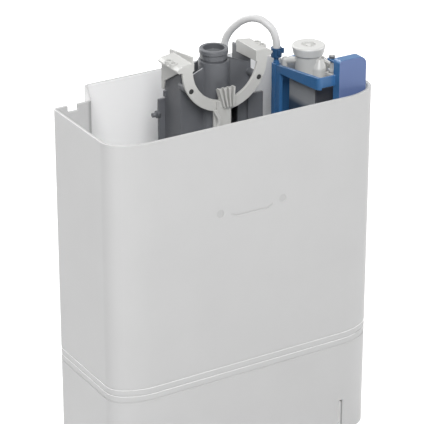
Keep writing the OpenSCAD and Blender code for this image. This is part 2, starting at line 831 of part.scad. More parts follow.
module valve_disc() {
  color("dimgray") at_valve(disc_z) {
    ring(disc_r, tube_r - tube_wall, disc_t);
    translate([0, 0, disc_t - cut]) ring(tube_r + 5, tube_r + fit_room, 6 + cut);
  }
}

module valve_washer() {
  color("black") at_valve(washer_z) ring(disc_r, pipe_d / 2 - 3, washer_t);
}

// One finger of the grip, from the band of the rod up and outwards
module grip_finger(low, high) {
  plate_xz(rod_front - 6, rod_front + 1)
    polygon([[low - 1.1, grip_z - 4], [low + 1.1, grip_z - 4], [high + 1.4, tank_h + grip_rise],
      [high - 1.4, tank_h + grip_rise]]);
}

// Flat lift rod with a fanned grip on top and a foot ring under the tube's shoulder
module full_flush_rod() {
  grip_low = [full_rod_left + 8.5, full_rod_x + 1];
  grip_high = [full_rod_left + 0.5, full_rod_x + 2];
  last = grip_fingers - 1;
  color("gainsboro") difference() {
    union() {
      span([full_rod_left, rod_front, foot_z], [full_rod_x, rod_back, grip_z + 4]);
      plate_xz(rod_front, rod_back)
        polygon([[grip_low[0] - 3, grip_z - 2], [grip_low[1] + 1, grip_z - 2],
          [grip_high[1] + 1, tank_h + grip_rise - 2], [grip_high[0] - 1, tank_h + grip_rise - 2]]);
      for (i = [0:last])
        grip_finger(grip_low[0] + (grip_low[1] - grip_low[0]) * i / last,
          grip_high[0] + (grip_high[1] - grip_high[0]) * i / last);
      span([-7, rod_front, foot_z], [7, valve_y, foot_z + foot_h]);
      at_valve(foot_z) cylinder(r = tube_r + 4, h = foot_h);
    }
    at_valve(foot_z - cut) cylinder(r = tube_r + fit_room, h = foot_h + 2 * cut);
  }
}

// Left edge of the curved end at a share t of its height
function curl_edge(t) = [part_rod_left + curl_bulge * (1 - cos(360 * t)) / 2, curl_z + curl_h * t];
curl_left = [for (i = [0:curl_steps]) curl_edge(i / curl_steps)];
curl_right = [for (i = [curl_steps:-1:0]) curl_left[i] + [part_rod_w, 0]];

// Thin rod that steps forward above its guide and ends in a curve in front of the full flush rod
module part_flush_rod() {
  step_front = rod_front - curl_gap - rod_t;
  color("gainsboro") {
    span([part_rod_left, rod_front, part_float_z], [part_rod_right, rod_back, curl_z + rod_t]);
    span([part_rod_left, step_front, curl_z], [part_rod_right, rod_back, curl_z + rod_t]);
    plate_xz(step_front, rod_front - curl_gap) polygon(concat(curl_left, curl_right));
    span(
      [part_float_right - part_float_w * 0.7, rod_front, part_float_z + 3],
      [part_rod_right, rod_back, part_float_z + part_float_h - 3]
    );
  }
}

module part_flush_float() {
  color("gray") difference() {
    span([part_float_right - part_float_w, rod_back, part_float_z],
      [part_float_right, tower_front - 2, part_float_z + part_float_h]);
    span([part_float_right - part_float_w + 2, rod_back + 2, part_float_z - cut],
      [part_float_right - 2, tower_front - 4, part_float_z + part_float_h - 2]);
  }
}

// Side wall of the fill housing with its sloping top bar and window
module fill_side_profile() {
  rear = tank_h + bar_rear_rise;
  front = tank_h + bar_front_rise;
  rise = (front - rear) / fill_l;
  window_rear = fill_y1 - column_w - 10;
  window_front = fill_y0 - cut;
  difference() {
    polygon([[fill_y0, fill_z0], [fill_y1, fill_z0], [fill_y1, rear], [fill_y0, front]]);
    polygon([
      [window_front, fill_floor + 17], [window_rear, fill_floor + 17],
      [window_rear, rear + rise * (fill_y1 - window_rear) - bar_h], [window_front, front - bar_front_h]
    ]);
  }
}

// Front block outline with one large and one small rounded upper corner
module front_block_profile(inset) {
  top = tank_h + front_block_rise - inset;
  low = fill_floor + 20;
  x0 = front_block_x0 + inset;
  x1 = front_block_x1 - inset;
  small = 5;
  translate([x0, low]) square([x1 - x0, top - front_block_r - low]);
  translate([x0 + small, low]) square([x1 - front_block_r - x0 - small, top - low]);
  translate([x0, low]) square([small + 1, top - small - low]);
  translate([x0 + small, top - small]) circle(r = small);
  translate([x1 - front_block_r, top - front_block_r]) circle(r = front_block_r);
}

// Blue housing: open side wall, column for the hose, front block, hanger in the tank's notch
module fill_housing() {
  wall_top = tank_h - 10;
  hanger_w = notch_w - 2 * rest_room;
  hanger_z = tank_h - notch_h + rest_room;
  color([0.19, 0.34, 0.49]) difference() {
    union() {
      plate_yz(fill_x0, fill_x0 + bar_t) fill_side_profile();
      span([column_x - column_w / 2, column_y - column_w / 2, fill_z0],
        [column_x + column_w / 2, column_y + column_w / 2, column_top]);
      difference() {
        span([fill_x0, fill_y0, fill_z0],
          [front_block_x0 + 1, fill_y0 + fill_wall, tank_h + bar_front_rise]);
        span([fill_x0 - cut, fill_y0 - cut, fill_floor + 17],
          [front_block_x0 + 2, fill_y0 + fill_wall + cut, tank_h + bar_front_rise - bar_front_h + 3]);
      }
      difference() {
        plate_xz(front_block_y0, front_block_y1) front_block_profile(0);
        translate([0, 0, -cut]) plate_xz(front_block_y0 + fill_wall,
          front_block_y1 - fill_wall) front_block_profile(fill_wall);
      }
      span([fill_x0, fill_y0, fill_z0], [fill_x1, fill_y1, fill_floor]);
      span([fill_x1 - fill_wall, fill_y0, fill_z0], [fill_x1, fill_y1, wall_top]);
      span([fill_x0, fill_y1 - fill_wall, fill_z0], [fill_x1, fill_y1, wall_top]);
      span([front_block_x0, fill_y0, fill_z0], [fill_x1, fill_y0 + fill_wall, fill_floor + 30]);
      for (x = [float_x0 + 6, float_x1 - 10])
        span([x, float_y0 + 3, fill_floor - 1], [x + 4, float_y1 - 3, float_z - rest_room]);
      span([notch_mid - hanger_w / 2, fill_y1 - fill_wall, hanger_z],
        [notch_mid + hanger_w / 2, recess_y + 4, tank_h - 1]);
      span([notch_mid - hanger_w / 2, fill_y1 - fill_wall, wall_top - 20],
        [notch_mid + hanger_w / 2, fill_y1 + 6, tank_h - 1]);
      span([notch_mid - hanger_w / 2 - 4, recess_y + rest_room, hanger_z - 6],
        [notch_mid + hanger_w / 2 + 4, recess_y + 4, tank_h - 1]);
      for (y = [fill_y1 - 0.11 * fill_l, fill_y1 - 0.53 * fill_l])
        span([fill_x1 - 1, y, fill_floor + 10], [tank_w / 2 - wall - rest_room, y + 4, wall_top - 5]);
      span([column_x, column_y - 14, feed_foot_z - 12], [column_x + 16, column_y - 1, feed_foot_z]);
      span([float_rod_x - 4.5, front_block_y1 - 1, guide_z],
        [float_rod_x + 4.5, float_rod_y + 4.5, guide_z + guide_t]);
    }
    translate([fill_x0, fill_y0, fill_floor + 17]) difference() {
      translate([-cut, -cut, 0]) cube([bar_r + cut, bar_r + cut, tank_h]);
      translate([bar_r, bar_r, -cut]) cylinder(r = bar_r, h = tank_h + 2 * cut);
    }
    translate([neck_x, neck_y, fill_z0 - cut]) cylinder(r = spout_r + fit_room, h = fill_wall + 2 * cut);
    translate([float_rod_x, float_rod_y, guide_z - cut]) cylinder(r = float_rod_r + rest_room,
      h = guide_t + 2 * cut);
  }
}

// Valve body: flange on the housing floor, neck, side lobe, feed arm and pivot ears
module fill_body() {
  lobe = [neck_x + 0.4 * neck_r, neck_y - 0.914 * neck_r];
  lobe_r = 0.63 * neck_r;
  lobe_h = 24;
  lobe_drop = 45;
  cone_h = 13;
  neck_l = 45;
  bore_l = 40;
  ear_z = pivot_z - hub_r - 1;
  ear_top = pivot_z + hub_r;
  ear_gap = 0.4;
  feed_z = arm_z + 8;
  feed_r = 4.5;
  run = [column_x - neck_x, column_y - neck_y];
  feed_l = norm(run) - column_w / sqrt(2) - feed_r - 0.5;
  color("whitesmoke") difference() {
    union() {
      translate([neck_x, neck_y, fill_floor]) cylinder(r = neck_r + 2, h = 4);
      translate([neck_x, neck_y, fill_floor]) cylinder(r = spout_r + 2, h = tank_h - 30 - fill_floor);
      translate([neck_x, neck_y, tank_h - neck_l]) cylinder(r = neck_r, h = neck_top - tank_h + neck_l);
      translate([lobe[0], lobe[1], neck_top - lobe_drop]) {
        cylinder(r = lobe_r, h = lobe_h);
        translate([0, 0, lobe_h]) cylinder(r1 = lobe_r, r2 = lobe_r - 7, h = cone_h);
      }
      translate([neck_x, neck_y, feed_z]) rotate(atan2(run[1], run[0])) {
        rotate([0, 90, 0]) cylinder(r = feed_r, h = feed_l);
        translate([feed_l, 0, 0]) sphere(r = feed_r);
        translate([feed_l, 0, feed_foot_z - feed_z]) cylinder(r = feed_r, h = feed_z - feed_foot_z);
      }
      span([neck_x + 10, pivot_y + hub_r + ear_gap, ear_z],
        [arm_x0 + arm_t + ear_gap + 3, pivot_y + hub_r + ear_gap + 3, ear_top]);
      span([neck_x + 12, pivot_y - hub_r, ear_z], [arm_x0 - ear_gap, pivot_y + hub_r + 1, ear_top]);
      span([arm_x0 + arm_t + ear_gap, pivot_y - hub_r, ear_z],
        [arm_x0 + arm_t + ear_gap + 3, pivot_y + hub_r + 1, ear_top]);
    }
    translate([neck_x, neck_y, neck_top - 8]) cylinder(r = neck_r - 2, h = 8 + cut);
    translate([neck_x, neck_y, fill_floor - cut]) cylinder(r = spout_r - 2, h = bore_l);
    rod_x([arm_x0 - 6, pivot_y, pivot_z], pin_r + pin_room, arm_t + 12);
  }
}

module fill_spout() {
  color("whitesmoke") translate([neck_x, neck_y, fill_z0 - spout_l]) ring(spout_r, spout_r - 2,
    spout_l + fill_wall);
}

module fill_body_nut() {
  height = 9;
  color("whitesmoke") translate([neck_x, neck_y, fill_z0 - height]) difference() {
    cylinder(r = spout_r + 7, h = height, $fn = 6);
    translate([0, 0, -cut]) cylinder(r = spout_r + fit_room, h = height + 2 * cut);
  }
}

// Flared cap with a recess and a centre post
module fill_cap() {
  base = neck_top - cap_skirt;
  top = base + cap_h;
  color("whitesmoke") translate([neck_x, neck_y, 0]) rotate_extrude() polygon([
    [0, neck_top], [neck_r + rest_room, neck_top], [neck_r + rest_room, base], [cap_r - 2.5, base],
      [cap_r, top - 2],
    [cap_r - 1.5, top], [cap_recess_r, top], [cap_recess_r - 1, top - 6], [3.5, top - 6],
      [3.5, top - 1], [0, top - 1]
  ]);
}

module diaphragm() {
  color("black") translate([neck_x, neck_y, neck_top - 8]) cylinder(r = neck_r - 2 - rest_room, h = 2);
}

// Float bent round the valve neck: a block in front and a slab beside it
module fill_float() {
  color("gray") difference() {
    union() {
      span([float_x0, float_y0, float_z], [float_x1, float_y1, float_top]);
      span([float_x0, float_y0, float_z], [float_x0 + float_slab, float_y0 + float_slab_l, float_top]);
    }
    span([float_x0 + 2, float_y0 + 2, float_z - cut], [float_x1 - 2, float_y1 - 2, float_top - 6]);
  }
}

// Rod on the float with two collars that carry the float arm between them
module float_rod() {
  upper = arm_z + arm_bar_t + 2;
  color("whitesmoke") translate([float_rod_x, float_rod_y, 0]) {
    translate([0, 0, float_top]) cylinder(r = float_rod_r, h = guide_z + guide_t + rod_nut_h - float_top);
    translate([0, 0, collar_z - 2.5]) cylinder(r = float_rod_r + 1.5, h = 2.5);
    translate([0, 0, upper]) cylinder(r = float_rod_r + 1.5, h = 2.5);
    translate([0, 0, float_top]) cylinder(r = float_rod_r + 2.5, h = 1.5);
  }
}

module float_rod_nut() {
  low = guide_z + guide_t + rest_room;
  color("dimgray") translate([float_rod_x, float_rod_y, low]) difference() {
    cylinder(r = float_rod_r + 1.5, h = rod_nut_h);
    translate([0, 0, -cut]) cylinder(r = float_rod_r + fit_room, h = rod_nut_h + 2 * cut);
  }
}

// Lever from the pivot beside the neck to the float rod, slotted round the rod
module float_arm() {
  tip = float_rod_y;
  color("whitesmoke") difference() {
    union() {
      rod_x([arm_x0, pivot_y, pivot_z], hub_r, arm_t);
      span([arm_x0, tip - 5, arm_z], [arm_x0 + arm_t, pivot_y, arm_z + arm_h]);
      span([float_rod_x - float_rod_r - 4, tip - 7.5, arm_z], [arm_x0 + arm_t, tip + 6, arm_z + arm_bar_t]);
    }
    rod_x([arm_x0 - cut, pivot_y, pivot_z], pin_r + pin_room, arm_t + 2 * cut);
    span([float_rod_x - float_rod_r - 0.7, tip - 5.2, arm_z - cut],
      [float_rod_x + float_rod_r + 0.7, tip + 4, arm_z + arm_h + cut]);
  }
}

module float_arm_pin() {
  color("silver") rod_x([arm_x0 - 4, pivot_y, pivot_z], pin_r, arm_t + 8);
}

module hose_nipple() {
  color([0.19, 0.34, 0.49]) translate([column_x, column_y, column_top]) {
    cylinder(r = 4.2, h = 3);
    cylinder(r = 3.2, h = nipple_h);
  }
}

// Spring clip round the hose end with two thumb ears
module hose_clip() {
  low = column_top + nipple_h - 1;
  ear_l = 7;
  inner = hose_r + rest_room;
  color([0.12, 0.25, 0.38]) translate([column_x, column_y, low]) difference() {
    union() {
      cylinder(r = inner + 2, h = clip_h);
      for (a = [-100, -30]) rotate(a) translate([inner, -1.5, clip_h - ear_l - 1]) cube([5, 3, ear_l]);
    }
    translate([0, 0, -cut]) cylinder(r = inner, h = clip_h + 2 * cut);
  }
}

// Direction of the hose at a point of its route
function hose_dir(i) = unit(hose_route[min(i + 1, len(hose_route) - 1)] - hose_route[max(i - 1, 0)]);
// Ring of points square to the route: one side vector stays level across the arch
hose_across = unit([hose_end[1] - hose_start[1], hose_start[0] - hose_end[0], 0]);
function hose_ring(i) =
  let (up = cross(hose_dir(i), hose_across))
  [
    for (k = [0:hose_sides - 1]) let (t = 360 * k / hose_sides)
      hose_route[i] + hose_r * (cos(t) * hose_across + sin(t) * up)
  ];

// Supply hose as one tube swept along its route
module supply_hose() {
  rings = len(hose_route);
  points = [for (i = [0:rings - 1]) each hose_ring(i)];
  sides = [
    for (i = [0:rings - 2]) for (k = [0:hose_sides - 1])
      let (a = i * hose_sides + k, b = i * hose_sides + (k + 1) % hose_sides)
      each [[a, b, b + hose_sides], [a, b + hose_sides, a + hose_sides]]
  ];
  first = [for (k = [hose_sides - 1:-1:0]) k];
  last = [for (k = [0:hose_sides - 1]) (rings - 1) * hose_sides + k];
  color("lightgray") polyhedron(points, concat([first], sides, [last]));
}

module hose_nut() {
  color("silver") translate([inlet_x, outlet_y, hose_top_z - hose_nut_h]) difference() {
    cylinder(r = hose_nut_r, h = hose_nut_h, $fn = 6);
    translate([0, 0, -cut]) cylinder(r = 3, h = hose_nut_h + 2 * cut);
  }
}

// Stop valve behind the tower: eared flange on the back wall, barrel and upright outlet
module stop_valve_body() {
  mouth = tank_d / 2 - 0.5;
  color("silver") difference() {
    union() {
      rod_y([inlet_x, barrel_y, inlet_z], barrel_r, mouth - barrel_y);
      rod_y([inlet_x, sv_flange_y, inlet_z], sv_flange_r, sv_flange_t);
      span([inlet_x - sv_screw_x - 6, sv_flange_y, inlet_z - 5],
        [inlet_x + sv_screw_x + 6, gasket_y, inlet_z + 5]);
      translate([inlet_x, outlet_y, inlet_z + 3])
        cylinder(r = boss_out_r, h = hose_top_z - hose_nut_h - inlet_z - 3);
    }
    rod_y([inlet_x, mouth - inlet_l, inlet_z], inlet_r, inlet_l + cut);
    rod_y([inlet_x, barrel_y - cut, inlet_z], spindle_r + pin_room, spindle_l + cut);
    for (side = [-1, 1])
      rod_y([inlet_x + side * sv_screw_x, sv_flange_y - cut, inlet_z], screw_r + fit_room,
        sv_flange_t + 2 * cut);
  }
}

module stop_valve_gasket() {
  color("black") difference() {
    rod_y([inlet_x, gasket_y, inlet_z], sv_flange_r, gasket_t);
    rod_y([inlet_x, gasket_y - cut, inlet_z], barrel_r + fit_room, gasket_t + 2 * cut);
  }
}

module stop_valve_screws() {
  color("silver") for (side = [-1, 1]) {
    rod_y([inlet_x + side * sv_screw_x, sv_flange_y - 2, inlet_z], screw_r + 2, 2);
    rod_y([inlet_x + side * sv_screw_x, sv_flange_y - 1, inlet_z], screw_r,
      tank_d / 2 - 0.5 - sv_flange_y + 1);
  }
}

// Fluted knob on the spindle
module stop_valve_knob() {
  knob_l = 14;
  stem = 4;
  flutes = 10;
  face = barrel_y - stem;
  color("steelblue") {
    rod_y([inlet_x, face - 1, inlet_z], spindle_r, stem + spindle_l);
    difference() {
      rod_y([inlet_x, face - knob_l, inlet_z], knob_r, knob_l);
      for (i = [0:flutes - 1]) let (t = 360 * i / flutes)
        rod_y([inlet_x + knob_r * cos(t), face - knob_l - cut, inlet_z + knob_r * sin(t)], 1.8,
          knob_l + 2 * cut);
    }
  }
}

tank();
outlet_seal();
outlet_nut();
valve_base();
tower_basket();
tower_shell();
tower_back_plate();
bearing_block();
bearing_screws();
overflow_tube();
overflow_collar();
valve_disc();
valve_washer();
full_flush_rod();
part_flush_rod();
part_flush_float();
fill_housing();
fill_body();
fill_body_nut();
fill_spout();
fill_cap();
diaphragm();
fill_float();
float_rod();
float_rod_nut();
float_arm();
float_arm_pin();
hose_nipple();
hose_clip();
supply_hose();
hose_nut();
stop_valve_body();
stop_valve_gasket();
stop_valve_screws();
stop_valve_knob();
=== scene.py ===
"""Toilet cistern with its lid off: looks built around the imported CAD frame."""

import json
import math

import bmesh
import bpy
import numpy as np
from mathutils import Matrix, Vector


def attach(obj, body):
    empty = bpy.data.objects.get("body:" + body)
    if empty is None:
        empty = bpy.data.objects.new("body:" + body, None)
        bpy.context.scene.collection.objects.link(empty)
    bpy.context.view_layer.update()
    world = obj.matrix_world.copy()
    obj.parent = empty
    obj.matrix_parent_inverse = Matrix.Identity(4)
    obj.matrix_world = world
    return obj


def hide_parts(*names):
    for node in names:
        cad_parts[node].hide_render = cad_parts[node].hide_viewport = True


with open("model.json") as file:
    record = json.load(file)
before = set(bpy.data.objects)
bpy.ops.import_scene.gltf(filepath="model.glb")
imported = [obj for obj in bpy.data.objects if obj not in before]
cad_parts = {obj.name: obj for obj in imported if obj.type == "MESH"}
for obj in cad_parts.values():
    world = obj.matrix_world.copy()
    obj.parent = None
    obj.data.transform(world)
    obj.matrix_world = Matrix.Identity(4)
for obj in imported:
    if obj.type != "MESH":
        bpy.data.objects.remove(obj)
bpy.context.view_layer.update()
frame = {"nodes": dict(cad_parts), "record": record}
nodes = frame["nodes"]
body_of_node = {n: b for b, names in frame["record"]["behaviour"]["bodies"].items() for n in names}
slot_of_node = {s["node"]: s["material_slot"] for s in frame["record"]["subparts"]}
scene = bpy.context.scene

# Camera at the photograph's angle, placed from the middle of the front of the rim, in metres

AZIMUTH, ELEVATION = math.radians(-30.95), math.radians(24.83)
RIM_FRONT = Vector((0, -0.1075, 0.5))
CAMERA_LEFT, CAMERA_DOWN, CAMERA_BACK = 0.0512, 0.11677, 2.86256
SENSOR_MM, LENS_MM = 36, 192.81

back = Vector((
    math.sin(AZIMUTH) * math.cos(ELEVATION),
    -math.cos(AZIMUTH) * math.cos(ELEVATION),
    math.sin(ELEVATION),
))
right = Vector((math.cos(AZIMUTH), math.sin(AZIMUTH), 0))
up = back.cross(right)
camera_data = bpy.data.cameras.new("camera")
camera_data.sensor_width = SENSOR_MM
camera_data.lens = LENS_MM
camera = bpy.data.objects.new("camera", camera_data)
scene.collection.objects.link(camera)
camera.location = RIM_FRONT - CAMERA_LEFT * right - CAMERA_DOWN * up + CAMERA_BACK * back
camera.rotation_euler = (-back).to_track_quat("-Z", "Y").to_euler()
scene.camera = camera

# Mesh helpers

SMOOTH_BELOW = math.radians(35)
NEARLY_NOTHING = 1e-12


def mesh_of(name, points, faces):
    """A mesh from an array of points and, for each face, the numbers of the points round it."""
    mesh = bpy.data.meshes.new(name)
    mesh.from_pydata(np.reshape(points, (-1, 3)).tolist(), [], [[int(i) for i in face] for face in faces])
    mesh.validate()
    return mesh


def as_piece(name, mesh, body):
    """A mesh as an object at the origin that rides on a body, shaded smooth over its gentle folds."""
    mesh.shade_smooth()
    mesh.set_sharp_from_angle(angle=SMOOTH_BELOW)
    obj = bpy.data.objects.new(name, mesh)
    scene.collection.objects.link(obj)
    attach(obj, body)
    return obj


def read_field(items, field, size=1, kind=float):
    """One field of a mesh's points, sides or faces as an array, a row each where it has several numbers."""
    values = np.empty(len(items) * size, kind)
    items.foreach_get(field, values)
    return values.reshape(-1, size) if size > 1 else values


def ring_faces(rings, sides):
    """Quads that join each closed ring of points to the next one."""
    i, j = np.meshgrid(np.arange(rings - 1), np.arange(sides), indexing="ij")
    here, beyond, beside = i * sides, (i + 1) * sides, (j + 1) % sides
    return np.stack([here + j, here + beside, beyond + beside, beyond + j], -1).reshape(-1, 4)


def smooth_path(points, per_span):
    """Smooth curve through the points, with the same number of steps in each span.

    A span from b to c, between the points a and d, is a cubic in t. Its slope at b is half of the way from a
    to c, and at c half of the way from b to d.
    """
    p = np.vstack([2 * points[0] - points[1], points, 2 * points[-1] - points[-2]])
    a, b, c, d = (p[i:len(p) - 3 + i, None] for i in range(4))
    t = np.linspace(0, 1, per_span, endpoint=False)[:, None]
    square = (2 * a - 5 * b + 4 * c - d) * t**2
    cube = (3 * b - a - 3 * c + d) * t**3
    spans = 0.5 * (2 * b + (c - a) * t + square + cube)
    return np.vstack([spans.reshape(-1, 3), points[-1]])


def tube(path, radius, across, sides):
    """Points and faces of a closed tube along a path, with its rings square to the path.

    A ring's point at an angle a lies at radius * (cos a * across + sin a * second) from the path, where the
    second axis is square to the path and to the level axis across it.
    """
    along = np.gradient(path, axis=0)
    along /= np.linalg.norm(along, axis=1)[:, None]
    second = np.cross(along, across)
    second /= np.linalg.norm(second, axis=1)[:, None]
    a = np.linspace(0, 2 * np.pi, sides, endpoint=False)[:, None]
    rings = path[:, None] + radius * (np.cos(a) * across + np.sin(a) * second[:, None])
    near_end = np.arange(sides)[::-1]
    far_end = np.arange(sides) + (len(path) - 1) * sides
    return rings, [*ring_faces(len(path), sides), near_end, far_end]


# Supply hose

# Route of its middle in mm, from the clip over the arch to the nut on the stop valve
HOSE = np.array([
    (120.5, 27, 518), (120.5, 27, 528), (120.5, 27, 538), (118.5, 30, 549.5), (116.5, 33, 555),
    (114, 36.5, 559), (111, 41, 562.5), (108, 46, 565), (103.5, 52, 566), (99.5, 58.5, 565),
    (95, 65, 562), (91, 71, 557.5), (87.5, 76, 552), (84, 81.5, 545), (81, 86, 537),
    (79, 89, 528.5), (78, 90, 520), (78, 90, 510), (78, 90, 500),
]) / 1000
HOSE_RADIUS = 0.005
HOSE_SIDES = 32
RINGS_PER_SPAN = 6

hose_path = smooth_path(HOSE, RINGS_PER_SPAN)
hose_run = HOSE[-1] - HOSE[0]
hose_across = np.array([hose_run[1], -hose_run[0], 0]) / math.hypot(hose_run[0], hose_run[1])
hose = as_piece("hose", mesh_of("hose", *tube(hose_path, HOSE_RADIUS, hose_across, HOSE_SIDES)), "cistern")
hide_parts("supply_hose")

# Materials

# The cloud and the grain are noise on the piece's own coordinates, and the relief is in metres
CLOUD_SCALE, CLOUD_DETAIL = 14.0, 5.0
CLOUD_DARK_AT, CLOUD_PALE_AT = 0.3, 0.7
GRAIN_DETAIL = 3.0
GLOSS_SPREAD = 0.06
RELIEF_DEPTH = 0.0006
TURNED_STREAKS = (60.0, 900.0, 60.0)


def connect(tree, node, values):
    """Sets a node's inputs: a number or colour is written in, and another node's output is linked."""
    for socket, value in values.items():
        if isinstance(value, bpy.types.NodeSocket):
            tree.links.new(value, node.inputs[socket])
        else:
            node.inputs[socket].default_value = value


def shader_node(tree, kind, values):
    """A new node in a material or in the world, with its inputs set."""
    node = tree.nodes.new("ShaderNode" + kind)
    connect(tree, node, values)
    return node


def piece_point(tree):
    """The piece's own coordinates in metres."""
    return tree.nodes.new("ShaderNodeTexCoord").outputs["Object"]


def new_material(name):
    """A new material, with its node tree and its main shader."""
    mat = bpy.data.materials.new(name)
    mat.use_nodes = True
    return mat, mat.node_tree, mat.node_tree.nodes["Principled BSDF"]


def plastic(name, colour, roughness, grain, bump, blotch, streaks=None):
    """Moulded plastic: a faintly cloudy colour, and a fine grain as bump and in the gloss.

    The cloud takes the colour from 1 - blotch to 1 + blotch of itself. Streaks scale the grain on each axis.
    """
    mat, tree, shader = new_material(name)
    where = piece_point(tree)
    cloud = shader_node(tree, "TexNoise", {"Vector": where, "Scale": CLOUD_SCALE, "Detail": CLOUD_DETAIL})
    shades = shader_node(tree, "ValToRGB", {"Fac": cloud.outputs["Fac"]})
    dark, pale = shades.color_ramp.elements
    dark.position = CLOUD_DARK_AT
    dark.color = [c * (1 - blotch) for c in colour] + [1]
    pale.position = CLOUD_PALE_AT
    pale.color = [c * (1 + blotch) for c in colour] + [1]
    if streaks:
        where = shader_node(tree, "Mapping", {"Vector": where, "Scale": streaks}).outputs["Vector"]
    fine = shader_node(tree, "TexNoise", {"Vector": where, "Scale": grain, "Detail": GRAIN_DETAIL})
    gloss = shader_node(tree, "MapRange", {
        "Value": fine.outputs["Fac"], "To Min": roughness - GLOSS_SPREAD, "To Max": roughness + GLOSS_SPREAD,
    })
    relief = shader_node(tree, "Bump", {
        "Height": fine.outputs["Fac"], "Strength": bump, "Distance": RELIEF_DEPTH,
    })
    connect(tree, shader, {
        "Base Color": shades.outputs["Color"],
        "Roughness": gloss.outputs["Result"],
        "Normal": relief.outputs["Normal"],
    })
    return mat


def metal(name, colour, roughness):
    """Plated or plain metal with fine turned streaks in its gloss and relief."""
    mat = plastic(name, colour, roughness, grain=8.0, bump=0.05, blotch=0.04, streaks=TURNED_STREAKS)
    mat.node_tree.nodes["Principled BSDF"].inputs["Metallic"].default_value = 1.0
    return mat


def shade_below(mat, colour, low, high):
    """Paints shade down the piece, fading a plastic to another colour between two heights in metres."""
    tree = mat.node_tree
    shader = tree.nodes["Principled BSDF"]
    height = shader_node(tree, "SeparateXYZ", {"Vector": piece_point(tree)}).outputs["Z"]
    fade = shader_node(tree, "MapRange", {"Value": height, "From Min": low, "From Max": high})
    blend = shader_node(tree, "MixRGB", {
        "Fac": fade.outputs["Result"],
        "Color1": colour + (1,),
        "Color2": shader.inputs["Base Color"].links[0].from_socket,
    })
    connect(tree, shader, {"Base Color": blend.outputs["Color"]})


# Colour, roughness, scale of the grain, strength of the bump, and blotch
PLASTICS = {
    "tank_plastic": ((0.51, 0.51, 0.51), 0.36, 700, 0.05, 0.015),
    # Painted light: the tank's inside gets a much lighter colour than its outside, standing in for the light
    # that falls inside it
    "tank_inside_painted_light": ((0.92, 0.92, 0.92), 0.42, 500, 0.06, 0.015),
    # Painted shade: the wall over the rear steps inside the tank, kept duller than the painted-light inside
    "tank_step_painted_shade": ((0.57, 0.57, 0.57), 0.40, 600, 0.06, 0.02),
    "tank_mark": ((0.47, 0.47, 0.47), 0.55, 900, 0.12, 0.03),
    "dark_plastic": ((0.112, 0.117, 0.128), 0.42, 1100, 0.10, 0.10),
    "light_plastic": ((0.515, 0.515, 0.50), 0.38, 1000, 0.06, 0.04),
    # Painted shade: a darker copy of the light plastic for the flush rods, which lie in shade under the bow
    "rod_plastic_painted_shade": ((0.485, 0.485, 0.47), 0.42, 1000, 0.06, 0.05),
    # Painted sheen: the block front's paler colour stands in for reflected light, while its higher roughness
    # is real
    "blue_front_painted_sheen": ((0.112, 0.162, 0.325), 0.55, 1200, 0.10, 0.06),
    "blue_plastic": ((0.038, 0.135, 0.31), 0.30, 900, 0.05, 0.10),
    # Painted light: a lighter copy of the white plastic for the fill cap, standing in for light on its
    # downward faces
    "cap_plastic_painted_light": ((0.62, 0.62, 0.605), 0.36, 900, 0.05, 0.03),
    "clip_plastic": ((0.018, 0.070, 0.165), 0.32, 900, 0.05, 0.10),
    # Painted reflection: a lighter grey for the inside of the overflow tube
    "bore_painted_reflection": ((0.21, 0.218, 0.23), 0.34, 1100, 0.06, 0.08),
    "white_plastic": ((0.52, 0.52, 0.505), 0.33, 900, 0.05, 0.03),
    "float_plastic": ((0.255, 0.265, 0.28), 0.50, 800, 0.10, 0.08),
    # Painted shade: a near black for the fill float's front, which lies in shade inside the housing
    "float_front_painted_shade": ((0.05, 0.052, 0.06), 0.55, 800, 0.10, 0.08),
    "hose_plastic": ((0.62, 0.62, 0.62), 0.45, 700, 0.08, 0.04),
    "seal_rubber": ((0.02, 0.02, 0.02), 0.65, 1200, 0.15, 0.20),
}
# Colour and roughness
METALS = {
    "plated_brass": ((0.62, 0.62, 0.62), 0.16),
    "screw_dark": ((0.07, 0.07, 0.07), 0.45),
    "screw_steel": ((0.52, 0.52, 0.53), 0.30),
}
# Painted shade: the fill float fades to a dark colour towards its foot, between two heights in metres
FLOAT_SHADE_COLOUR = (0.02, 0.04, 0.075)
FLOAT_FADE_FOOT, FLOAT_FADE_TOP = 0.462, 0.472

MATERIALS = {name: plastic(name, *finish) for name, finish in PLASTICS.items()}
MATERIALS.update({name: metal(name, *finish) for name, finish in METALS.items()})
shade_below(MATERIALS["float_plastic"], FLOAT_SHADE_COLOUR, FLOAT_FADE_FOOT, FLOAT_FADE_TOP)


def finish_all(obj, name):
    """Gives the whole piece one material."""
    obj.data.materials.clear()
    obj.data.materials.append(MATERIALS[name])


def paint(obj, slot):
    """Gives a new piece the material of a record slot."""
    finish_all(obj, slot)


paint(hose, "hose_plastic")

# Moulded pieces with softened edges

# Points this close in metres are one, and a fold or a turn is an angle in radians
MERGE_DISTANCE = 2e-6
FLAT_FOLD = math.radians(0.4)
SHARP_FOLD = math.radians(34)
STRAIGHT_TURN = 0.004
# Strips in a rounded edge, and how far large faces set the shading of the edges beside them
ROUNDING_STEPS = 3
EVEN_SHADING = 90
# Share of the width below the low level, and shares of a side that the rounding may take and aims at
LOW_SHARE = 0.15
ROOM, ROOM_AIMED_AT = 0.9, 0.88
# Share that a width keeps at least in one pass, share of the widest from which it shrinks, and passes
LEAST_KEPT = 0.6
WIDE_SHARE = 0.8
PASSES = 200


